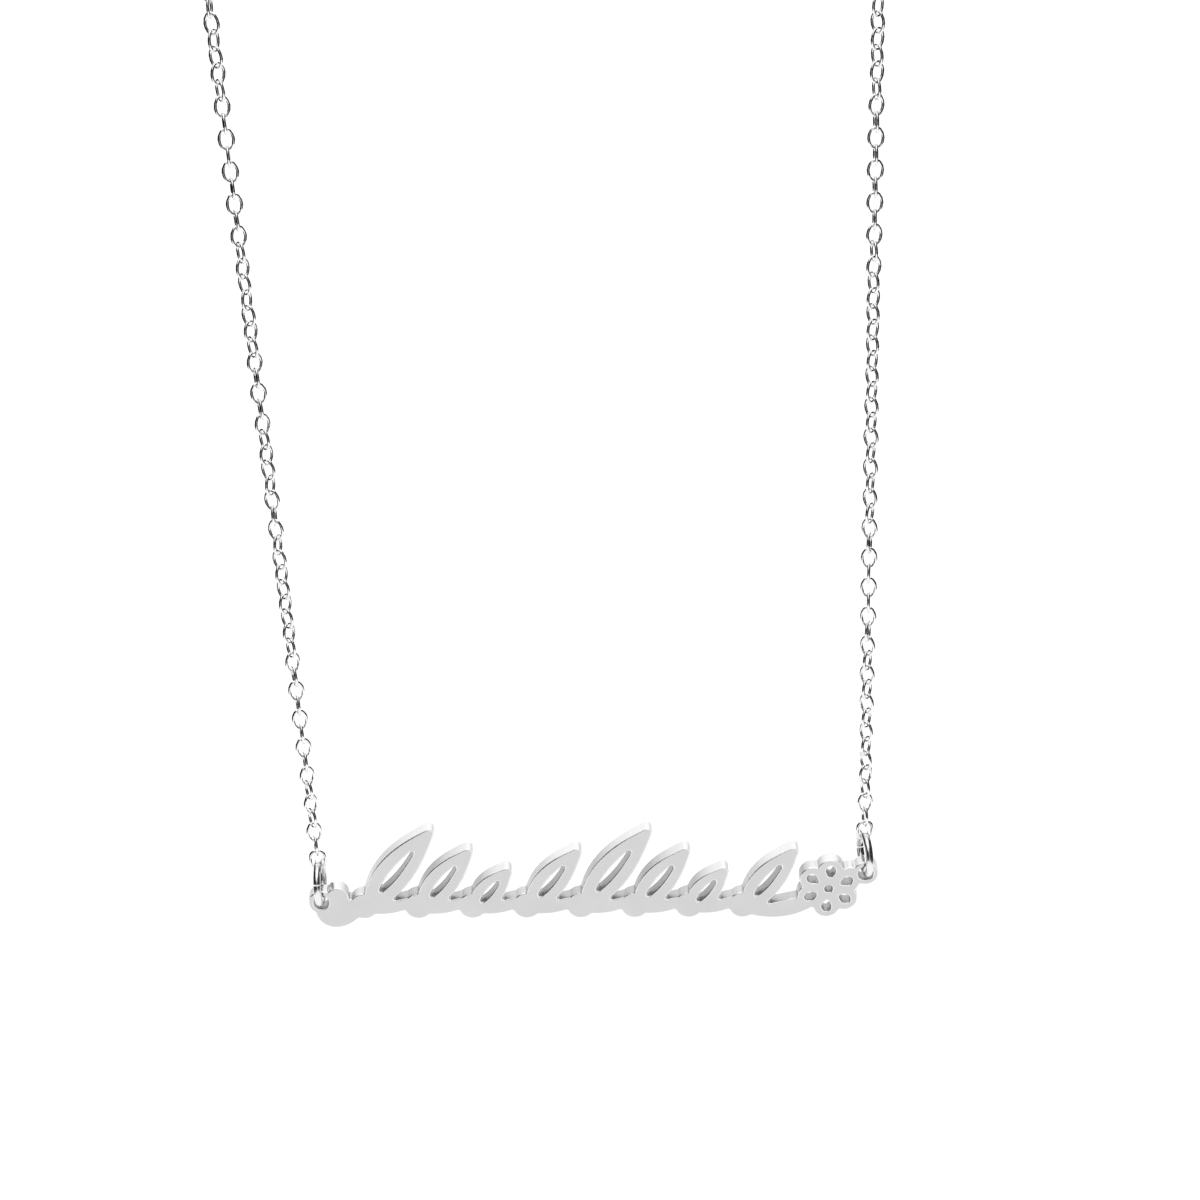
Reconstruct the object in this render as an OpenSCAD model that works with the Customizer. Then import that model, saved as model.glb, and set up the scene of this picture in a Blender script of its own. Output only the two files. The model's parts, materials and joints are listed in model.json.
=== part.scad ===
// A plate necklace: a pierced leaf plate hangs by two jump rings from a fine cable chain.
// Lengths are in millimetres and angles in degrees. The plate faces -Y, +X is to the viewer's
// right and +Z is up. The origin is under the clasp, where the loop hangs.

/* [Nameplate] */
// Distance between the centres of the two eyes
eye_span = 43.1; // [36:0.1:56]
// Thickness of the plate
plate_t = 1.3; // [0.8:0.1:1.6]
// Height of the tallest leaf above the foot line
leaf_h = 8.6; // [6.5:0.1:11]
// Height of the lowest leaf as a share of the tallest
leaf_low = 0.56; // [0.4:0.02:0.9]
// Width of the broadest leaf
leaf_w = 2.9; // [2.4:0.1:3.2]
// Number of leaves
leaf_count = 8; // [5:1:9]
// Leaves from one tall leaf to the next
leaf_wave = 4; // [2:1:6]
// How far a leaf's tip leans to the right, as a share of its height
leaf_sweep = 0.7; // [0.4:0.02:0.8]
// How far a leaf arches up over its own middle, as a share of its length
leaf_arch = 0.05; // [0:0.01:0.12]
// Height of the left eye above the foot line
left_eye_h = 1.5; // [1:0.1:3]
// How far the foot line tips down to the right as the plate hangs
plate_tip = 3.3; // [0:0.1:6]
// Bore of the eyes
eye_bore = 1.2; // [1.1:0.05:1.5]
// Metal around the bore of the eyes
eye_wall = 0.42; // [0.3:0.02:0.7]
// Radius of the rounded feet under the leaves
foot_r = 1.15; // [0.9:0.05:1.4]
// Width of the pierced veins
vein_w = 0.75; // [0.5:0.05:1]
// Radius of the round flower at the right end
flower_r = 2.6; // [2.2:0.1:3.2]
// Number of the flower's petals
petal_count = 6; // [5:1:7]
// Radius left by the saw in inner corners
corner_r = 0.16; // [0.08:0.02:0.3]
// Radius of the leaves' rounded tips
tip_r = 0.4; // [0.2:0.02:0.44]

/* [Jump rings] */
// Outer diameter of a jump ring
ring_od = 4; // [3.6:0.1:5.5]
// Wire of a jump ring
ring_wire = 0.6; // [0.4:0.02:0.64]
// Width of the cut where a jump ring closes
ring_cut = 0.1; // [0.06:0.02:0.2]
// Turn of the left ring about the vertical
left_ring_turn = -5; // [-10:0.5:10]
// Turn of the right ring about the vertical
right_ring_turn = 9; // [-10:0.5:10]

/* [Chain] */
// Length of the whole necklace, laid open
necklace_len = 450; // [380:1:520]
// Width of a link
link_w = 1.3; // [1.24:0.02:1.6]
// Length of a link
link_len = 1.84; // [1.78:0.02:2.2]
// Wire of a link
link_wire = 0.24; // [0.18:0.01:0.26]
// Extra width of each strand's lowest link, opened for the jump ring
link_opening = 0.1; // [0.04:0.02:0.2]
// Links made one by one on each side, up from the jump ring
links_shown = 60; // [20:1:110]
// How far each strand leans outwards
strand_lean = 1.85; // [1:0.05:4]

/* [Clasp] */
// Outer diameter of the clasp ring
clasp_od = 6; // [5:0.1:8]
// Thickness of the clasp ring
clasp_wire = 1.2; // [0.9:0.1:1.4]
// Outer diameter of the eye on the clasp
clasp_eye_od = 2; // [1.8:0.1:2.6]
// Wire of the eye on the clasp
clasp_eye_wire = 0.5; // [0.4:0.05:0.6]
// Wire of the end ring
end_wire = 0.5; // [0.4:0.05:0.7]

/* [Clearance] */
// Clearance between loose pieces of metal
gap = 0.1; // [0.08:0.01:0.14]

/* [Hidden] */
$fa = 12;
$fs = 0.3;
steel = [0.82, 0.82, 0.83];
round_steps = 12;
tip_fs = 0.15;

// Chain: the centres of neighbouring links lie one pitch apart
link_pitch = link_len - 2 * link_wire - gap;
link_reach = link_len - link_wire;
link_half_w = (link_w - link_wire) / 2;
link_fa = 15;

// A link's bows meet on the slant of a triangle with the sides 3, 4 and 5, so that they meet
// smoothly whatever the link's length and width
end_turn = acos(3 / 5);
side_turn = 90 - end_turn;
end_set = (link_len - link_w) * 3 / 4;
end_bow_r = link_reach / 2 - end_set;
side_bow_r = end_bow_r + end_set * 5 / 3;
side_set = side_bow_r - link_half_w;

// Clasp: the end ring holds the clasp ring's wire and a link, both with the clearance
clasp_r = (clasp_od - clasp_wire) / 2;
clasp_eye_r = (clasp_eye_od - clasp_eye_wire) / 2;
end_r = clasp_wire / 2 + 2 * gap + end_wire / 2 + 2 * link_wire;
clasp_eye_x = clasp_r + clasp_wire / 2 + clasp_eye_r;
end_ring_x = clasp_r - clasp_wire / 2 - gap - end_wire / 2 + end_r;
left_hook = clasp_eye_x + clasp_eye_r - clasp_eye_wire / 2 - gap - link_wire / 2;
right_hook = end_ring_x + end_r - end_wire / 2 - gap - link_wire / 2;
hook_x = (left_hook + right_hook) / 2;
clasp_x = left_hook - hook_x;

// Jump rings: each hangs in the lowest link and carries an eye of the plate
ring_r = (ring_od - ring_wire) / 2;
ring_drop = ring_r - link_wire / 2 - gap - ring_wire / 2;
wire_bow = ring_r - sqrt(ring_r * ring_r - plate_t * plate_t / 4);
eye_drop = ring_drop + ring_r - wire_bow / 2;

// Links on each side, from the length that the plate, the rings and the clasp leave
side_len = (necklace_len - eye_span - 2 * hook_x) / 2 - eye_drop;
link_count = round(side_len / link_pitch);
strand_len = link_count * link_pitch + link_wire + gap;

// Route of a strand: straight up with its lean, then round an arc to the clasp
strand_x = eye_span / 2;
arc_turn = (90 + strand_lean) * PI / 180;
function arc_radius(clasp_half) =
    (strand_x + sin(strand_lean) * (strand_len + clasp_half))
    / (cos(strand_lean) + arc_turn * sin(strand_lean));
arc_guess = arc_radius(hook_x);
hook_arc = arc_guess * asin(hook_x / arc_guess) * PI / 180;
arc_r = arc_radius(hook_arc);
straight_len = strand_len - arc_r * arc_turn + hook_arc;
arc_z = clasp_wire / 2 - sqrt(arc_r * arc_r - hook_x * hook_x);
strand_z = arc_z - arc_r * sin(strand_lean) - straight_len * cos(strand_lean);

function arc_angle(s) = (s - straight_len) / arc_r * 180 / PI - strand_lean;
function route(s) = s < straight_len
    ? [strand_x + s * sin(strand_lean), strand_z + s * cos(strand_lean)]
    : [arc_r * cos(arc_angle(s)), arc_z + arc_r * sin(arc_angle(s))];
function route_lean(s) = s < straight_len ? strand_lean : -arc_angle(s);

// How a strand turns about itself: the links' angle at these links, and evenly between them
left_turns = [[0, 0], [4, 35], [8, 10], [12, 8], [16, 46], [20, 50], [24, 80], [27, 54], [32, 8],
              [36, 46], [38, 60], [43, 12], [48, 2], [52, 40], [56, 78]];
right_turns = [[0, 5], [3, 25], [6, 50], [13, 60], [16, 85], [19, 85], [22, 58], [26, 58],
               [30, 48], [36, 40], [41, 4], [46, 2], [50, 32], [54, 50]];

// Plate: its own X runs along the foot line from below the left eye, and its Y is up
plate_run = eye_span * cos(plate_tip);
right_eye_h = left_eye_h + eye_span * sin(plate_tip);
eye_r = eye_bore / 2 + eye_wall;
leaf_start = eye_r * 3.2;
leaf_pitch = (plate_run - leaf_start - 2 * flower_r - 4.5 * eye_r) / (leaf_count - 1);

function bezier(a, b, c, t) = (1 - t) * (1 - t) * a + 2 * t * (1 - t) * b + t * t * c;
function heading(a, b, c, t) =
    let (d = (1 - t) * (b - a) + t * (c - b)) [-d[1], d[0]] / norm(d);
function swell(t, skew) = sin(180 * pow(t, skew));

// A stroke with pointed ends along a curve from a by b to c, w wide where it is broadest
module stroke(a, b, c, w, skew) {
    steps = 2 * round_steps;
    left_side = [for (i = [0 : steps]) let (t = i / steps)
        bezier(a, b, c, t) + heading(a, b, c, t) * swell(t, skew) * w / 2];
    right_side = [for (i = [steps - 1 : -1 : 1]) let (t = i / steps)
        bezier(a, b, c, t) - heading(a, b, c, t) * swell(t, skew) * w / 2];
    polygon(concat(left_side, right_side));
}

// The leaves rise and fall in a slow wave from one tall leaf to the next
function leaf_share(i) = (1 + leaf_low) / 2 + (1 - leaf_low) / 2 * cos(360 * i / leaf_wave);
function leaf_root(i) = [leaf_start + i * leaf_pitch, foot_r * 0.2];
function leaf_tip(i) = [leaf_root(i)[0] + leaf_share(i) * leaf_h * leaf_sweep, leaf_share(i) * leaf_h];
function leaf_elbow(i) =
    let (root = leaf_root(i), tip = leaf_tip(i))
    (root + tip) / 2 + [root[1] - tip[1], tip[0] - root[0]] * leaf_arch;
function leaf_width(i) = leaf_w * (0.55 + 0.45 * leaf_share(i));

module leaf(i) {
    stroke(leaf_root(i), leaf_elbow(i), leaf_tip(i), leaf_width(i), 0.85);
    translate([leaf_root(i)[0] + foot_r * 0.12, foot_r])
        circle(r = foot_r);
}

// A pierced vein follows the leaf's own curve
module vein(i) {
    root = leaf_root(i);
    tip = leaf_tip(i);
    elbow = leaf_elbow(i);
    stroke(bezier(root, elbow, tip, 0.22), bezier(root, elbow, tip, 0.5),
           bezier(root, elbow, tip, 0.77), vein_w * leaf_width(i) / leaf_w, 0.8);
}

// The stem: a short rising stroke from each foot to the next
module stem() {
    for (i = [0 : leaf_count - 2]) {
        from = leaf_root(i);
        to = leaf_root(i + 1);
        stroke([from[0] - foot_r * 0.2, foot_r * 0.5], [to[0] - foot_r * 0.9, foot_r * 0.75],
               [to[0] + foot_r * 0.9, foot_r * 2.1], foot_r * 0.95, 0.9);
    }
}

// The left end: the eye, the bud beside it and the stroke that swings down to the first foot
module left_end() {
    first = leaf_root(0);
    translate([0, left_eye_h])
        circle(r = eye_r);
    translate([eye_r * 1.25, left_eye_h + eye_r * 0.4])
        circle(r = eye_r * 0.88);
    stroke([-eye_r * 0.45, left_eye_h - eye_r * 0.1], [eye_r * 0.9, -foot_r * 1.35],
           [first[0] + foot_r * 1.1, foot_r * 2], foot_r * 1.6, 0.85);
}

// The flower stands beside the right eye, and one of its petals points to it
flower_at = [plate_run - eye_r - flower_r * 0.72, flower_r];
petal_start = atan2(right_eye_h - flower_at[1], plate_run - flower_at[0]);

module petals() {
    translate(flower_at)
        for (i = [0 : petal_count - 1])
            rotate([0, 0, petal_start + 360 * i / petal_count])
                children();
}

// The right end: the flower, the eye on its rim and the stroke that joins the last leaf to it
module right_end() {
    last = leaf_root(leaf_count - 1);
    translate([plate_run, right_eye_h])
        circle(r = eye_r);
    translate([plate_run - eye_r * 1.1, right_eye_h - eye_r * 0.25])
        circle(r = eye_r * 0.8);
    petals()
        hull() {
            circle(r = flower_r * 0.3);
            translate([flower_r * 0.58, 0])
                circle(r = flower_r * 0.42);
        }
    stroke([last[0] - foot_r * 0.2, foot_r * 0.5], [flower_at[0] - flower_r, foot_r * 0.2],
           [flower_at[0] + flower_r * 0.2, flower_r], foot_r * 1.3, 0.9);
}

// The flower's heart and a drop in each petal are pierced
module flower_piercing() {
    translate(flower_at)
        circle(r = vein_w * 0.45);
    petals()
        stroke([flower_r * 0.3, 0], [flower_r * 0.55, 0], [flower_r * 0.82, 0], vein_w, 1.6);
}

module plate_outline() {
    difference() {
        offset(r = tip_r, $fs = tip_fs)
            offset(r = -tip_r - corner_r)
                offset(r = corner_r)
                    union() {
                        for (i = [0 : leaf_count - 1])
                            leaf(i);
                        stem();
                        left_end();
                        right_end();
                    }
        offset(r = corner_r)
            offset(r = -corner_r)
                union() {
                    for (i = [0 : leaf_count - 1])
                        vein(i);
                    flower_piercing();
                }
    }
}

module nameplate() {
    color(steel)
        translate([-strand_x, plate_t / 2, strand_z - eye_drop])
            rotate([90, 0, 0])
                rotate([0, 0, -plate_tip])
                    difference() {
                        translate([0, -left_eye_h, 0])
                            linear_extrude(plate_t)
                                plate_outline();
                        translate([0, 0, -plate_t])
                            cylinder(d = eye_bore, h = 3 * plate_t);
                        translate([plate_run, eye_span * sin(plate_tip), -plate_t])
                            cylinder(d = eye_bore, h = 3 * plate_t);
                    }
}

// A ring of round wire about its own Z axis, open by the cut's width at the angle 0
module wire_ring(r, wire, cut = 0) {
    half_cut = asin(cut / 2 / r);
    rotate([0, 0, half_cut])
        rotate_extrude(angle = 360 - 2 * half_cut)
            translate([r, 0])
                circle(d = wire);
}

module jump_ring(side, ring_turn, cut_turn) {
    color(steel)
        translate([side * strand_x, 0, strand_z - ring_drop])
            rotate([0, 0, ring_turn])
                rotate([0, 90, 0])
                    rotate([0, 0, cut_turn])
                        wire_ring(ring_r, ring_wire, ring_cut);
}

// A bent length of the link wire about Z, from one angle through the turn
module link_bow(r, from, turn) {
    rotate([0, 0, from])
        rotate_extrude(angle = turn, $fa = link_fa)
            translate([r, 0])
                circle(d = link_wire);
}

// One oval link, standing on its end in the plane that faces the viewer: a tight bow round
// each end and a wide one down each side
module oval_link() {
    rotate([90, 0, 0])
        for (end = [0, 180])
            rotate([0, 0, end]) {
                translate([0, end_set, 0]) {
                    link_bow(end_bow_r, side_turn, end_turn);
                    link_bow(end_bow_r, 90, end_turn);
                }
                translate([-side_set, 0, 0])
                    link_bow(side_bow_r, -side_turn, 2 * side_turn);
            }
}

// The lowest link of a strand, opened wider and rounder for the jump ring's thicker wire
module open_link() {
    open_half_w = link_half_w + link_opening / 2;
    shank = link_reach - 2 * open_half_w;
    rotate([90, 0, 0])
        for (end = [0, 180])
            rotate([0, 0, end]) {
                translate([0, shank / 2, 0])
                    link_bow(open_half_w, 0, 180);
                translate([open_half_w, shank / 2, 0])
                    rotate([90, 0, 0])
                        cylinder(d = link_wire, h = shank);
            }
}

module strand(side, turns) {
    color(steel)
        for (k = [0 : links_shown - 1]) {
            low = route(k * link_pitch);
            high = route(k * link_pitch + link_reach);
            middle = (low + high) / 2;
            rise = high - low;
            translate([side * middle[0], 0, middle[1]])
                rotate([0, side * atan2(rise[0], rise[1]), 0])
                    rotate([0, 0, lookup(k, turns) + 90 * (k % 2)])
                        if (k == 0) open_link();
                        else oval_link();
        }
}

// The far stretch of a strand as one closed tube of the links' width
module strand_tube(side) {
    sides = 8;
    start = links_shown * link_pitch + 1.5 * link_wire + 2 * gap;
    end = strand_len - link_wire / 2 - 2 * gap - max(clasp_eye_wire, end_wire);
    rings = ceil((end - start) / (3 * link_w));
    points = [for (i = [0 : rings]) let (s = start + (end - start) * i / rings, p = route(s))
        for (j = [0 : sides - 1]) let (a = 360 * j / sides, out = cos(a) * link_w / 2)
            [side * (p[0] + out * cos(route_lean(s))), sin(a) * link_w / 2,
             p[1] - out * sin(route_lean(s))]];
    walls = [for (i = [0 : rings - 1]) for (j = [0 : sides - 1])
        let (a = i * sides, b = a + sides, n = (j + 1) % sides) [a + j, b + j, b + n, a + n]];
    caps = [[for (j = [0 : sides - 1]) j],
            [for (j = [sides - 1 : -1 : 0]) rings * sides + j]];
    faces = concat(walls, caps);
    color(steel)
        polyhedron(points, side > 0 ? faces : [for (f = faces) [for (i = [len(f) - 1 : -1 : 0]) f[i]]]);
}

module clasp() {
    color(steel)
        translate([clasp_x, 0, clasp_wire / 2]) {
            wire_ring(clasp_r, clasp_wire);
            translate([-clasp_eye_x, 0, 0])
                rotate([90, 0, 0])
                    wire_ring(clasp_eye_r, clasp_eye_wire);
        }
}

module end_ring() {
    color(steel)
        translate([clasp_x + end_ring_x, 0, clasp_wire / 2])
            rotate([90, 0, 0])
                wire_ring(end_r, end_wire);
}

nameplate();
jump_ring(-1, left_ring_turn, 250);  // left_jump_ring
jump_ring(1, right_ring_turn, 75);  // right_jump_ring
strand(-1, left_turns);  // left_chain
strand(1, right_turns);  // right_chain
strand_tube(-1);  // left_chain_back
strand_tube(1);  // right_chain_back
clasp();
end_ring();
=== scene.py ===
"""A plate necklace, dressed for its picture.

A pierced plate of leaves and a flower hangs on two jump rings and a fine cable chain.
Metres and radians. The plate faces -Y, +X is to the viewer's right and +Z is up.
"""
import json
from math import acos, asin, atan2, cos, pi, radians, sin

import bmesh
import bpy
from mathutils import Euler, Matrix, Vector
from mathutils.bvhtree import BVHTree


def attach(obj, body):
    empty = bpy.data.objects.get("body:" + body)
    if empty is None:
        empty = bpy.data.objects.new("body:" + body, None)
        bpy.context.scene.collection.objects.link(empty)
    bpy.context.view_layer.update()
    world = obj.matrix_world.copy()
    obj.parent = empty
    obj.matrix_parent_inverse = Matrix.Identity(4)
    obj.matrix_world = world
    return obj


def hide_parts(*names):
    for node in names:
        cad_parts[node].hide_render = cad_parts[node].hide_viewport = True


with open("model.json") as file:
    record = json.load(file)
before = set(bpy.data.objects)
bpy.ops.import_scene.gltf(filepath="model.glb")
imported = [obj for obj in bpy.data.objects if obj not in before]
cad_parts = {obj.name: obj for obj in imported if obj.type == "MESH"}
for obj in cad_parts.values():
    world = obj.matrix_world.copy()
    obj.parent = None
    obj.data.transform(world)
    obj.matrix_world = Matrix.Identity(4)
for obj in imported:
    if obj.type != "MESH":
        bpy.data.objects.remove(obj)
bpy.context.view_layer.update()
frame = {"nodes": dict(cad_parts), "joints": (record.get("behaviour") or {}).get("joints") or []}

# Camera
# A long lens a third of a metre from the plate, looking down on it by 27 degrees.
# It is rolled a little clockwise, so that the necklace hangs slightly askew, as in the picture.
LOOK_AT = Vector((0.001698, 0.0, -0.162386))
CAMERA_AWAY = 0.32113
CAMERA_DOWN = radians(26.917)
CAMERA_SIDE = radians(0.151)
CAMERA_ROLL = radians(-3.001)
LENS_MM = 125.96
SENSOR_MM = 36

camera = bpy.data.objects.new("camera", bpy.data.cameras.new("camera"))
bpy.context.scene.collection.objects.link(camera)
camera.data.lens = LENS_MM
camera.data.sensor_width = SENSOR_MM
camera.data.clip_start = 0.01
aim = Euler((pi / 2 - CAMERA_DOWN, 0, -CAMERA_SIDE)).to_matrix() @ Matrix.Rotation(CAMERA_ROLL, 3, "Z")
camera.location = LOOK_AT + aim @ Vector((0, 0, CAMERA_AWAY))
camera.rotation_euler = aim.to_euler()
bpy.context.scene.camera = camera

# Nameplate
# One plate sawn from 1.3 mm stainless steel sheet: a row of pierced leaves on a stem, with a bud and
# an eye at the left end and a pierced flower and an eye at the right. Its flat faces are polished,
# and tumbling has rounded every edge by a tenth of a millimetre.
EDGE_ROUND = 0.0001
EDGE_STEPS = 3
HOLD = 0.00002
FAN = [radians(turn) for turn in (-65, -40, -20, 0, 20, 40, 65)]
FAN_REACH = 0.0045
FACE_TONE, FACE_GLOSS, FACE_MARKS = (0.6, 0.6, 0.603), (0.10, 0.2), (9000, 9000, 700)
FACE_MARKS_TURN = radians(20)
WALL_TONE, WALL_GLOSS, WALL_MARKS = (0.68, 0.68, 0.683), (0.2, 0.34), (11000, 600, 11000)
# The rounded edges are painted much lighter than the flat faces of the same steel: a painted highlight
EDGE_HIGHLIGHT_TONE, EDGE_GLOSS, EDGE_MARKS = (0.85, 0.85, 0.853), (0.2, 0.3), (9000, 9000, 9000)
# The darkest tone of the walls, where the metal opposite hems them in: painted shade, partly unpolished
# residue
UNPOLISHED_AND_SHADE = (0.38, 0.38, 0.385, 1)
MARK_DEPTH = 0.000002
NOISE_LOW, NOISE_HIGH = 0.3, 0.7
HAZE_SCALE = 420
HAZE_DARK, HAZE_LIGHT = 0.975, 1.02

# How squarely a face looks forwards or back: a wall less than UPRIGHT, a flat face more than FLAT
UPRIGHT, FLAT = 0.05, 0.995


def start_clean():
    """Leaves edit mode and everything deselected, so that an operator acts on nothing old."""
    if bpy.context.object and bpy.context.object.mode != "OBJECT":
        bpy.ops.object.mode_set(mode="OBJECT")
    bpy.ops.object.select_all(action="DESELECT")


def work_on(piece):
    """Makes the piece the only selected one and opens it in edit mode."""
    start_clean()
    bpy.context.view_layer.objects.active = piece
    piece.select_set(True)
    bpy.ops.object.mode_set(mode="EDIT")


def pick(kind, test):
    """Selects the faces, edges or verts of the open mesh that pass the test, and nothing else."""
    bpy.ops.mesh.select_mode(type={"faces": "FACE", "edges": "EDGE", "verts": "VERT"}[kind])
    bpy.ops.mesh.select_all(action="DESELECT")
    mesh = bpy.context.object.data
    shape = bmesh.from_edit_mesh(mesh)
    for part in getattr(shape, kind):
        if test(part):
            part.select = True
    shape.select_flush_mode()
    bmesh.update_edit_mesh(mesh)


def close_up(piece, smooth):
    """Turns all faces outwards, shades them smooth up to that angle and names the mesh."""
    bpy.ops.mesh.select_all(action="SELECT")
    bpy.ops.mesh.normals_make_consistent(inside=False)
    bpy.ops.object.mode_set(mode="OBJECT")
    bpy.ops.object.shade_smooth_by_angle(angle=smooth)
    piece.data.name = piece.name


def polished_steel(name, tone, gloss, marks, turn=0):
    """Steel with fine polishing marks: marks gives their closeness along X, Y and Z, turned about Y."""
    steel = bpy.data.materials.new(name)
    steel.use_nodes = True
    nodes, links = steel.node_tree.nodes, steel.node_tree.links
    shader = nodes["Principled BSDF"]
    shader.inputs["Metallic"].default_value = 1.0
    place = nodes.new("ShaderNodeTexCoord")
    grain = nodes.new("ShaderNodeMapping")
    grain.inputs["Scale"].default_value = marks
    grain.inputs["Rotation"].default_value = (0, turn, 0)
    scratches = nodes.new("ShaderNodeTexNoise")
    scratches.inputs["Scale"].default_value = 1
    scratches.inputs["Detail"].default_value = 3
    gloss_range = nodes.new("ShaderNodeMapRange")
    gloss_range.inputs["From Min"].default_value = NOISE_LOW
    gloss_range.inputs["From Max"].default_value = NOISE_HIGH
    gloss_range.inputs["To Min"].default_value = gloss[0]
    gloss_range.inputs["To Max"].default_value = gloss[1]
    haze = nodes.new("ShaderNodeTexNoise")
    haze.inputs["Scale"].default_value = HAZE_SCALE
    haze.inputs["Detail"].default_value = 2
    tones = nodes.new("ShaderNodeValToRGB")
    tones.color_ramp.elements[0].position = NOISE_LOW
    tones.color_ramp.elements[0].color = [c * HAZE_DARK for c in tone] + [1]
    tones.color_ramp.elements[1].position = NOISE_HIGH
    tones.color_ramp.elements[1].color = [c * HAZE_LIGHT for c in tone] + [1]
    relief = nodes.new("ShaderNodeBump")
    relief.inputs["Strength"].default_value = 0.12
    relief.inputs["Distance"].default_value = MARK_DEPTH
    links.new(place.outputs["Object"], grain.inputs["Vector"])
    links.new(grain.outputs["Vector"], scratches.inputs["Vector"])
    links.new(place.outputs["Object"], haze.inputs["Vector"])
    links.new(scratches.outputs["Fac"], gloss_range.inputs["Value"])
    links.new(gloss_range.outputs["Result"], shader.inputs["Roughness"])
    links.new(haze.outputs["Fac"], tones.inputs["Fac"])
    links.new(tones.outputs["Color"], shader.inputs["Base Color"])
    links.new(scratches.outputs["Fac"], relief.inputs["Height"])
    links.new(relief.outputs["Normal"], shader.inputs["Normal"])
    return steel


plate = bpy.data.objects.new("leaf_plate", frame["nodes"]["nameplate"].data.copy())
bpy.context.scene.collection.objects.link(plate)
plate.data.materials.clear()
work_on(plate)
bpy.ops.mesh.customdata_custom_splitnormals_clear()
bpy.ops.mesh.select_all(action="SELECT")
bpy.ops.mesh.remove_doubles(threshold=HOLD)
start_clean()

# The walls carry painted shade in the piercings and notches, partly also the polish that hardly reaches
# in there: each point of the walls keeps how closely the metal opposite hems it in, over a fan of
# directions
metal = BVHTree.FromPolygons([vert.co for vert in plate.data.vertices],
                             [face.vertices for face in plate.data.polygons])
recess_shade = plate.data.attributes.new("recess_shade", "FLOAT", "POINT")
for vert, value in zip(plate.data.vertices, recess_shade.data):
    outward = Vector((vert.normal.x, 0, vert.normal.z)).normalized()
    for turn in FAN:
        towards = Matrix.Rotation(turn, 3, "Y") @ outward
        start = Vector((vert.co.x, 0, vert.co.z)) + towards * HOLD * 2
        far = metal.ray_cast(start, towards, FAN_REACH)[3]
        if far is not None:
            value.value += (1 - far / FAN_REACH) / len(FAN)

# Each flat face is sunk by the rounding and brought up again in steps along a quarter circle.
# The narrow band under it, HOLD high, keeps the wall's shading straight.
work_on(plate)
for outward in (-1, 1):
    pick("faces", lambda face: face.normal.y * outward > FLAT)
    bpy.ops.transform.translate(value=(0, -outward * (EDGE_ROUND + HOLD), 0))
    bpy.ops.mesh.extrude_region_move(TRANSFORM_OT_translate={"value": (0, outward * HOLD, 0)})
    for step in range(EDGE_STEPS):
        before, after = step * pi / 2 / EDGE_STEPS, (step + 1) * pi / 2 / EDGE_STEPS
        bpy.ops.mesh.inset(thickness=EDGE_ROUND * (cos(before) - cos(after)), depth=0)
        bpy.ops.transform.translate(value=(0, outward * EDGE_ROUND * (sin(after) - sin(before)), 0))
    bpy.ops.mesh.inset(thickness=HOLD, depth=0)
    bpy.ops.mesh.delete(type="FACE")
    pick("edges", lambda edge: edge.is_boundary)
    bpy.ops.mesh.fill(use_beauty=True)
close_up(plate, radians(50))
sawn_walls = polished_steel("sawn_walls", WALL_TONE, WALL_GLOSS, WALL_MARKS)
nodes, links = sawn_walls.node_tree.nodes, sawn_walls.node_tree.links
# Painted shade: the walls' colour is multiplied darker where the metal opposite hems them in, partly as
# unpolished residue
painted_shade_node = nodes.new("ShaderNodeAttribute")
painted_shade_node.attribute_name = "recess_shade"
residue_and_shade = nodes.new("ShaderNodeMix")
residue_and_shade.data_type = "RGBA"
residue_and_shade.blend_type = "MULTIPLY"
residue_and_shade.inputs["B"].default_value = UNPOLISHED_AND_SHADE
links.new(painted_shade_node.outputs["Fac"], residue_and_shade.inputs["Factor"])
links.new(nodes["Color Ramp"].outputs["Color"], residue_and_shade.inputs["A"])
links.new(residue_and_shade.outputs["Result"], nodes["Principled BSDF"].inputs["Base Color"])
plate.data.materials.append(
    polished_steel("polished_plate", FACE_TONE, FACE_GLOSS, FACE_MARKS, FACE_MARKS_TURN))
plate.data.materials.append(sawn_walls)
# The rounded edges get the lighter tone, as a painted highlight
plate.data.materials.append(polished_steel("tumbled_edges_painted_highlight", EDGE_HIGHLIGHT_TONE, EDGE_GLOSS, EDGE_MARKS))
work_on(plate)
for index, least, most in ((1, 0, UPRIGHT), (2, UPRIGHT, FLAT)):
    pick("faces", lambda face: least <= abs(face.normal.y) < most)
    plate.active_material_index = index
    bpy.ops.object.material_slot_assign()
start_clean()
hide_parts("nameplate")
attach(plate, "pendant")

# Jump rings
# Two round rings of 0.6 mm steel wire, wound on a rod, sawn apart and pushed shut by hand.
# Each hangs in the lowest link of its strand and carries an eye of the plate. The strands start
# at the height of the joint that the plate swings about.
RING_R = 0.0017
RING_WIRE = 0.0006
RING_CUT = 0.0001
CLEAR = 0.0001
LINK_WIRE = 0.00024
STRAND_X = 0.02155
STRAND_Z = frame["joints"][0]["pos_m"][2]
RING_DROP = RING_R - RING_WIRE / 2 - CLEAR - LINK_WIRE / 2
# The ring wire is painted lighter than real steel, as painted light
RING_TONE_PAINTED_LIGHT, RING_GLOSS, RING_MARKS = (0.82, 0.82, 0.825), (0.18, 0.28), (6000, 6000, 6000)

# Shares of a wire's thickness: the rim kept round a sawn end, and how near points are welded
SAWN_RIM, WELD = 0.06, 0.02


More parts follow.
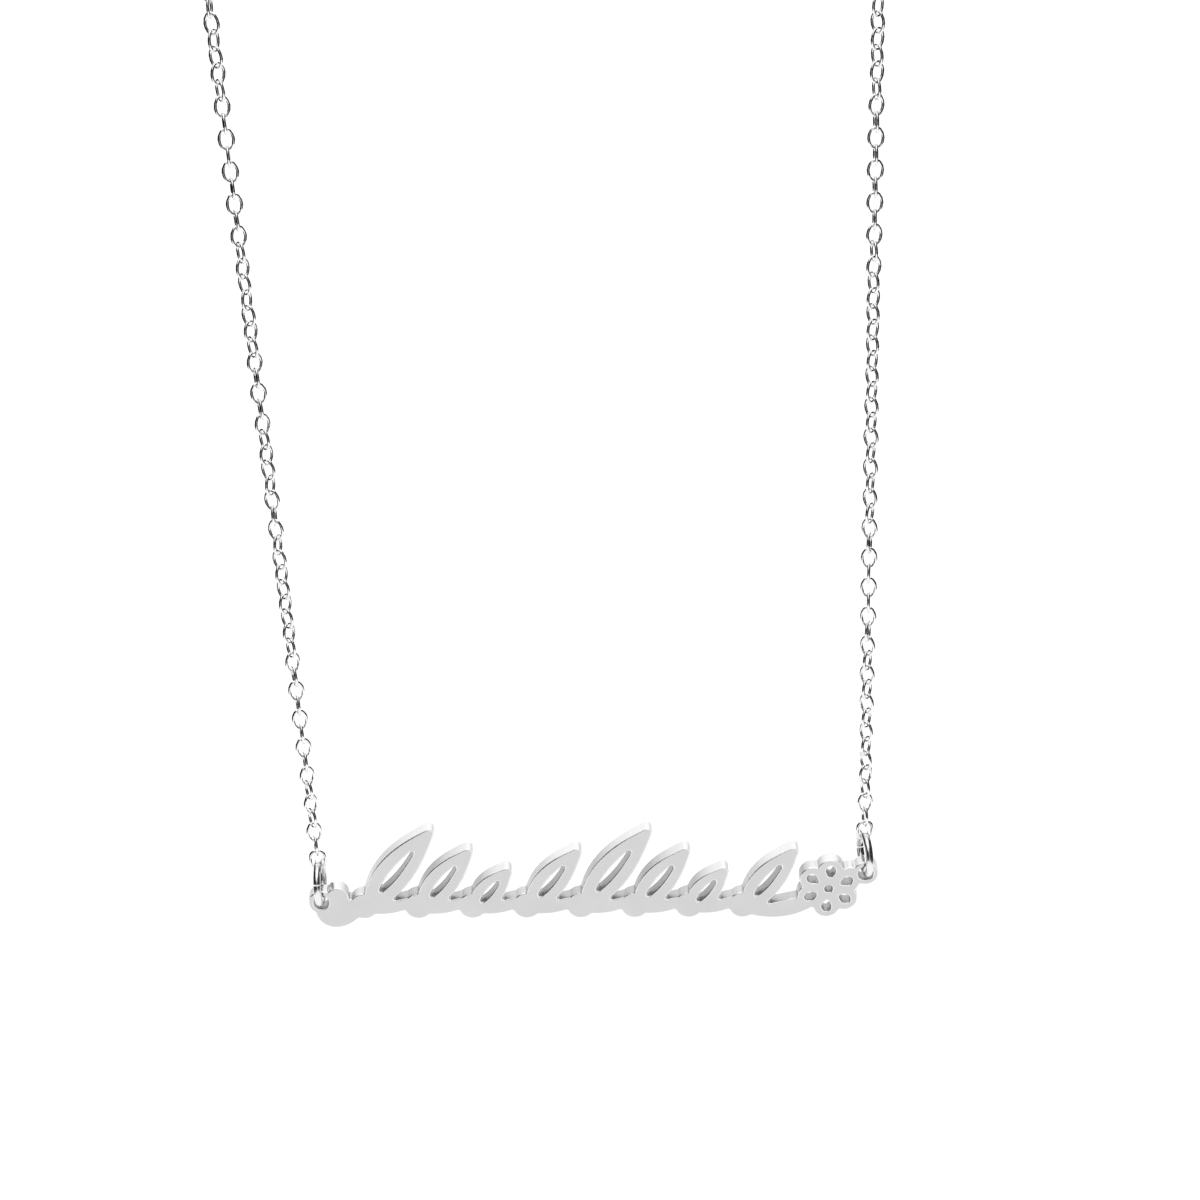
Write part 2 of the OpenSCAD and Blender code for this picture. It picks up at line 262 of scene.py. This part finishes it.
def wound_wire(name, bend_r, wire, sides, steps, open_by=0.0):
    """A ring of round wire about Z, left open by that angle, or closed where it is nought."""
    start_clean()
    bpy.ops.mesh.primitive_circle_add(
        vertices=sides, radius=wire / 2, location=(bend_r, 0, 0), rotation=(pi / 2, 0, 0))
    piece = bpy.context.object
    piece.name = name
    bpy.ops.object.transform_apply(location=True, rotation=True, scale=True)
    work_on(piece)
    bpy.ops.mesh.select_all(action="SELECT")
    bpy.ops.mesh.spin(steps=steps, angle=2 * pi - open_by, center=(0, 0, 0), axis=(0, 0, -1))
    if open_by:
        for end in (False, True):
            pick("edges", lambda edge: edge.is_boundary and (edge.verts[0].co.y < -wire / 20) == end)
            bpy.ops.mesh.edge_face_add()
            bpy.ops.mesh.inset(thickness=wire * SAWN_RIM, depth=0)
    else:
        bpy.ops.mesh.select_all(action="SELECT")
        bpy.ops.mesh.remove_doubles(threshold=wire * WELD)
    close_up(piece, radians(60))
    return piece


drawn_wire = polished_steel("polished_ring_wire", RING_TONE_PAINTED_LIGHT, RING_GLOSS, RING_MARKS)
half_cut = asin(RING_CUT / 2 / RING_R)

# Each ring's side, how far it is turned from edge-on and where its cut lies, both in degrees
for name, side, ring_turn, cut_turn in (("left_jump_ring", -1, -5, 250), ("right_jump_ring", 1, 9, 75)):
    ring = wound_wire(name + "_wire", RING_R, RING_WIRE, sides=20, steps=96, open_by=2 * half_cut)
    ring.data.transform(Matrix.Translation((side * STRAND_X, 0, STRAND_Z - RING_DROP))
                        @ Matrix.Rotation(radians(ring_turn), 4, "Z")
                        @ Matrix.Rotation(pi / 2, 4, "Y")
                        @ Matrix.Rotation(radians(cut_turn) + half_cut, 4, "Z"))
    ring.data.materials.append(drawn_wire)
    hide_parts(name)
    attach(ring, "pendant")

# Cable chain
# Oval links of 0.24 mm steel wire, each soldered shut through its neighbour, a quarter turn apart.
# Each strand leans outwards as it runs up from its jump ring, turning about itself here and there,
# and ends in an arc over the neck: the left one at the clasp, the right one at the end ring.
LINK_W = 0.0013
LINK_LEN = 0.00184
LINK_BOW_R = 0.000395
OPEN_W = 0.0014
OPEN_BOW_R = 0.0005684
LINK_REACH = LINK_LEN - LINK_WIRE
LINK_PITCH = LINK_REACH - LINK_WIRE - CLEAR
LINKS = 156
LINKS_NEAR = 60
LEAN = radians(1.85)
STRAIGHT = 0.158195
ARC_R = (STRAND_X + STRAIGHT * sin(LEAN)) / cos(LEAN)
ARC_Z = STRAND_Z + STRAIGHT * cos(LEAN) + ARC_R * sin(LEAN)
# The link wire is painted lighter than real steel, as painted light
LINK_TONE_PAINTED_LIGHT, LINK_GLOSS, LINK_MARKS = (0.86, 0.86, 0.863), (0.02, 0.07), (9000, 9000, 9000)

# How far each strand has turned about itself, as pairs of a link's number and degrees, and how far
# a link may lie off that: the beats spread this play over the links without a pattern
LEFT_TURNS = ((0, 0), (4, 35), (8, 10), (12, 8), (16, 46), (20, 50), (24, 80), (27, 54), (32, 8),
              (36, 46), (38, 60), (43, 12), (48, 2), (52, 40), (56, 78), (LINKS, 78))
RIGHT_TURNS = ((0, 5), (3, 25), (6, 50), (13, 60), (16, 85), (19, 85), (22, 58), (26, 58),
               (30, 48), (36, 40), (41, 4), (46, 2), (50, 32), (54, 50), (LINKS, 50))
TURN_PLAY, TURN_BEAT = 3, 2.4
LEAN_PLAY, LEAN_BEAT = 1, 1.7


def oval_link(name, width, bow_r, sides, bow_steps, side_steps):
    """One oval link about the origin, standing on its end in the plane that faces the viewer.

    A tight bow of that radius runs round each end, and a wide one down each side.
    """
    half_w, half_len = (width - LINK_WIRE) / 2, LINK_REACH / 2
    side_r = (half_len ** 2 + half_w ** 2 - 2 * half_len * bow_r) / (2 * (half_w - bow_r))
    bow_turn = acos((half_len - bow_r) / (side_r - bow_r))
    start_clean()
    bpy.ops.mesh.primitive_circle_add(vertices=sides, radius=LINK_WIRE / 2, location=(half_w, 0, 0))
    piece = bpy.context.object
    piece.name = name
    bpy.ops.object.transform_apply(location=True, rotation=True, scale=True)
    work_on(piece)
    bpy.ops.mesh.select_all(action="SELECT")
    for centre, turn, steps in (((half_w - side_r, 0, 0), pi / 2 - bow_turn, side_steps),
                                ((0, 0, half_len - bow_r), 2 * bow_turn, bow_steps),
                                ((side_r - half_w, 0, 0), pi - 2 * bow_turn, 2 * side_steps),
                                ((0, 0, bow_r - half_len), 2 * bow_turn, bow_steps),
                                ((half_w - side_r, 0, 0), pi / 2 - bow_turn, side_steps)):
        bpy.ops.mesh.spin(steps=steps, angle=turn, center=centre, axis=(0, 1, 0))
    bpy.ops.mesh.select_all(action="SELECT")
    bpy.ops.mesh.remove_doubles(threshold=LINK_WIRE * WELD)
    close_up(piece, radians(80))
    return piece


def route(s):
    """The point, as X out from the middle and Z, at that length up a strand."""
    if s < STRAIGHT:
        return Vector((STRAND_X + s * sin(LEAN), STRAND_Z + s * cos(LEAN)))
    a = (s - STRAIGHT) / ARC_R - LEAN
    return Vector((ARC_R * cos(a), ARC_Z + ARC_R * sin(a)))


def turn_at(turns, k):
    """How far the strand has turned about itself at link k, evenly between the turns listed."""
    for (low, before), (high, after) in zip(turns, turns[1:]):
        if k <= high:
            return before + (after - before) * (k - low) / (high - low)


def strand(name, side, turns, first, models):
    """One stretch of a strand as one piece: from link first up, a copy of each model in turn."""
    start_clean()
    for k, model in enumerate(models, first):
        low, high = route(k * LINK_PITCH), route(k * LINK_PITCH + LINK_REACH)
        middle, rise = (low + high) / 2, high - low
        turn = turn_at(turns, k) + TURN_PLAY * sin(TURN_BEAT * k) + 90 * (k % 2)
        lean = side * atan2(rise.x, rise.y) + radians(LEAN_PLAY) * cos(LEAN_BEAT * k)
        link = bpy.data.objects.new(name, model.data.copy())
        bpy.context.scene.collection.objects.link(link)
        link.data.transform(Matrix.Translation((side * middle.x, 0, middle.y))
                            @ Matrix.Rotation(lean, 4, "Y")
                            @ Matrix.Rotation(radians(turn), 4, "Z"))
        link.select_set(True)
        bpy.context.view_layer.objects.active = link
    bpy.ops.object.join()
    piece = bpy.context.object
    piece.name = name
    piece.data.name = name
    return piece


link_steel = polished_steel("polished_link_wire", LINK_TONE_PAINTED_LIGHT, LINK_GLOSS, LINK_MARKS)
open_link = oval_link("open_link", OPEN_W, OPEN_BOW_R, sides=8, bow_steps=8, side_steps=1)
fine_link = oval_link("fine_link", LINK_W, LINK_BOW_R, sides=8, bow_steps=6, side_steps=2)
plain_link = oval_link("plain_link", LINK_W, LINK_BOW_R, sides=6, bow_steps=3, side_steps=1)
near_links = [open_link] + [fine_link] * (LINKS_NEAR - 1)
far_links = [plain_link] * (LINKS - LINKS_NEAR)
for name, side, turns in (("left_chain", -1, LEFT_TURNS), ("right_chain", 1, RIGHT_TURNS)):
    for stretch, first, models in (("", 0, near_links), ("_back", LINKS_NEAR, far_links)):
        piece = strand(name + stretch + "_links", side, turns, first, models)
        piece.data.materials.append(link_steel)
        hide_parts(name + stretch)
        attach(piece, "chain")
for model in (open_link, fine_link, plain_link):
    bpy.data.objects.remove(model)

# Clasp
# A ring of 1.2 mm tube with a small soldered eye, which the last link of the left strand holds.
# Its gate slides back into the tube on a spring, by the small knob on the top of the ring, and a
# fine groove runs round the tube at each end of the gate.
CLASP_R = 0.0024
CLASP_WIRE = 0.0012
CLASP_X = -0.000005
CLASP_EYE_R = 0.00075
CLASP_EYE_WIRE = 0.0005
CLASP_EYE_X = CLASP_R + CLASP_WIRE / 2 + CLASP_EYE_R
GATE_ENDS = (radians(-33.75), radians(48.75))
GROOVE = 0.88
KNOB_AT = radians(75)
KNOB_R = 0.00026
KNOB_H = 0.0006
KNOB_RISE = 0.0001
KNOB_ROUND = KNOB_R * 0.45
CLASP_TONE, CLASP_GLOSS, CLASP_MARKS = (0.68, 0.68, 0.685), (0.08, 0.18), (5000, 5000, 5000)

clasp_steel = polished_steel("polished_clasp", CLASP_TONE, CLASP_GLOSS, CLASP_MARKS)
clasp = wound_wire("clasp_ring", CLASP_R, CLASP_WIRE, sides=24, steps=96)
work_on(clasp)

# The gate's ends fall on steps of the ring, which are 3.75 degrees each
for gate_end in GATE_ENDS:
    pick("verts", lambda vert: abs(atan2(vert.co.y, vert.co.x) - gate_end) < radians(1))
    bpy.ops.transform.resize(value=(GROOVE, GROOVE, GROOVE),
                             center_override=(CLASP_R * cos(gate_end), CLASP_R * sin(gate_end), 0))
start_clean()
clasp.data.transform(Matrix.Translation((CLASP_X, 0, CLASP_WIRE / 2)))
clasp_eye = wound_wire("clasp_eye", CLASP_EYE_R, CLASP_EYE_WIRE, sides=16, steps=40)
clasp_eye.data.transform(Matrix.Translation((CLASP_X - CLASP_EYE_X, 0, CLASP_WIRE / 2))
                         @ Matrix.Rotation(pi / 2, 4, "X"))
start_clean()
bpy.ops.mesh.primitive_cylinder_add(
    vertices=20, radius=KNOB_R, depth=KNOB_H,
    location=(CLASP_X + CLASP_R * cos(KNOB_AT), CLASP_R * sin(KNOB_AT), CLASP_WIRE + KNOB_RISE))
clasp_knob = bpy.context.object
clasp_knob.name = "clasp_knob"
bpy.ops.object.transform_apply(location=True, rotation=True, scale=True)
work_on(clasp_knob)
pick("edges", lambda edge: all(vert.co.z > CLASP_WIRE for vert in edge.verts))
bpy.ops.mesh.bevel(offset=KNOB_ROUND, segments=3)
close_up(clasp_knob, radians(50))
for piece in (clasp, clasp_eye, clasp_knob):
    piece.data.materials.append(clasp_steel)
    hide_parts("clasp")
    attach(piece, "chain")

# End ring
# A closed ring of 0.5 mm wire, which the clasp's gate lets in. The last link of the right strand
# holds it, and its wire stands clear of the clasp ring's.
END_WIRE = 0.0005
END_R = CLASP_WIRE / 2 + 2 * CLEAR + END_WIRE / 2 + 2 * LINK_WIRE
END_RING_X = CLASP_R - CLASP_WIRE / 2 - CLEAR - END_WIRE / 2 + END_R

end_ring = wound_wire("end_ring_wire", END_R, END_WIRE, sides=16, steps=56)
end_ring.data.transform(Matrix.Translation((CLASP_X + END_RING_X, 0, CLASP_WIRE / 2))
                        @ Matrix.Rotation(pi / 2, 4, "X"))
end_ring.data.materials.append(clasp_steel)
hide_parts("end_ring")
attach(end_ring, "chain")

# Studio
# A wide white table well under the plate, in a soft white tent that lights it from all round.
# The tent is lighter overhead and behind the necklace, and darker at the camera.
FLOOR_Z = -0.30
FLOOR_SIZE = 16
PAPER_TONE = (0.93, 0.93, 0.93, 1)
TENT_LIGHT = 0.82

# Patches of the tent: the way to the core, the cosines of the angles from it to the rim and to where
# the full change begins, and that change of light
OVERHEAD = ((0, -0.5, 0.86), 0.55, 0.95, 0.5)
BEHIND = ((0, 0.86, 0.51), 0.6, 0.95, 0.6)
AT_CAMERA = ((0, -0.98, 0.25), 0.86, 0.98, -0.38)

start_clean()
bpy.ops.mesh.primitive_plane_add(size=FLOOR_SIZE, location=(0, 0, FLOOR_Z))
floor = bpy.context.object
floor.name = "floor"
bpy.ops.object.transform_apply(location=True, rotation=True, scale=True)
paper = bpy.data.materials.new("white_paper")
paper.use_nodes = True
paper_shader = paper.node_tree.nodes["Principled BSDF"]
paper_shader.inputs["Base Color"].default_value = PAPER_TONE
paper_shader.inputs["Roughness"].default_value = 0.9
paper_shader.inputs["Specular IOR Level"].default_value = 0.1
floor.data.materials.append(paper)

world = bpy.data.worlds.new("white_tent")
bpy.context.scene.world = world
world.use_nodes = True
nodes, links = world.node_tree.nodes, world.node_tree.links
tent = nodes["Background"]
tent.inputs["Color"].default_value = (1, 1, 1, 1)
look = nodes.new("ShaderNodeTexCoord")


def patch(towards, rim, core, change):
    """A soft round patch of the tent, with the full change at its core and none past its rim."""
    facing = nodes.new("ShaderNodeVectorMath")
    facing.operation = "DOT_PRODUCT"
    facing.inputs[1].default_value = Vector(towards).normalized()
    fade = nodes.new("ShaderNodeMapRange")
    fade.interpolation_type = "SMOOTHSTEP"
    fade.inputs["From Min"].default_value = rim
    fade.inputs["From Max"].default_value = core
    fade.inputs["To Min"].default_value = 0
    fade.inputs["To Max"].default_value = change
    links.new(look.outputs["Generated"], facing.inputs[0])
    links.new(facing.outputs["Value"], fade.inputs["Value"])
    return fade.outputs["Result"]


level = None
for change in (patch(*OVERHEAD), patch(*BEHIND), patch(*AT_CAMERA)):
    total = nodes.new("ShaderNodeMath")
    total.operation = "ADD"
    total.inputs[1].default_value = TENT_LIGHT
    if level:
        links.new(level, total.inputs[1])
    links.new(change, total.inputs[0])
    level = total.outputs["Value"]
links.new(level, tent.inputs["Strength"])

# Black cards
# Upright cards stand on both sides of the strands, out of the picture, as the dark streaks that
# round wire needs to read as polished metal. Some are folded in at the front. To the flat plate
# they shine as the tent does, apart from the high left one, which darkens the plate's upper edges.
CARD_X = 0.14
CARD_FRONT = -0.2
CARD_FOOT = -0.258
PLATE_TOP = -0.182
LEFT_TOP, RIGHT_TOP, BACK_TOP = -0.055, 0.05, -0.16
LEFT_BACK, RIGHT_BACK, FAR_BACK = 0.1, 0.07, 0.24
LEFT_FOLD, RIGHT_FOLD = (0.12, -0.06, 0), (-0.10, -0.06, 0)
CARD_TONE = (0.01, 0.01, 0.01, 1)
CARD_SHINE = 0.9

black = bpy.data.materials.new("black_card")
black.use_nodes = True
black_shader = black.node_tree.nodes["Principled BSDF"]
black_shader.inputs["Base Color"].default_value = CARD_TONE
black_shader.inputs["Roughness"].default_value = 0.9
black_shader.inputs["Specular IOR Level"].default_value = 0
shining = black.copy()
shining.name = "shining_card"
shining_shader = shining.node_tree.nodes["Principled BSDF"]
shining_shader.inputs["Emission Color"].default_value = (1, 1, 1, 1)
shining_shader.inputs["Emission Strength"].default_value = CARD_SHINE
plate_only = bpy.data.collections.new("plate_only")
plate_only.objects.link(plate)
for name, side, front, back, foot, top, fold, paint in (
        ("left_card", -1, CARD_FRONT, LEFT_BACK, CARD_FOOT, PLATE_TOP, LEFT_FOLD, shining),
        ("left_high_card", -1, CARD_FRONT, LEFT_BACK, PLATE_TOP, LEFT_TOP, LEFT_FOLD, black),
        ("right_card", 1, CARD_FRONT, RIGHT_BACK, CARD_FOOT, RIGHT_TOP, RIGHT_FOLD, shining),
        ("left_back_card", -1, LEFT_BACK, FAR_BACK, CARD_FOOT, BACK_TOP, None, shining),
        ("right_back_card", 1, RIGHT_BACK, FAR_BACK, CARD_FOOT, BACK_TOP, None, shining)):
    start_clean()
    bpy.ops.mesh.primitive_plane_add(size=1, rotation=(0, pi / 2, 0))
    card = bpy.context.object
    card.name = name
    card.scale = (top - foot, back - front, 1)
    card.location = (side * CARD_X, (front + back) / 2, (foot + top) / 2)
    bpy.ops.object.transform_apply(location=True, rotation=True, scale=True)
    card.data.materials.append(paint)
    if fold:
        work_on(card)
        pick("edges", lambda edge: all(vert.co.y < (front + back) / 2 for vert in edge.verts))
        bpy.ops.mesh.extrude_region_move(TRANSFORM_OT_translate={"value": fold})
        start_clean()
    card.visible_camera = False
    card.visible_diffuse = False
    card.visible_shadow = False
    if paint is shining:
        card.light_linking.receiver_collection = plate_only

# Lamp
# One broad lamp overhead and a little behind the necklace, which shines down and forwards.
# The picture keeps its plain tones.
LAMP_TIP = radians(-30)
LAMP_WIDTH = radians(30)
LAMP_LIGHT = 0.35

bpy.ops.object.light_add(type="SUN", rotation=(LAMP_TIP, 0, 0))
lamp = bpy.context.object
lamp.name = "overhead_lamp"
lamp.data.energy = LAMP_LIGHT
lamp.data.angle = LAMP_WIDTH
bpy.context.scene.view_settings.view_transform = "Standard"
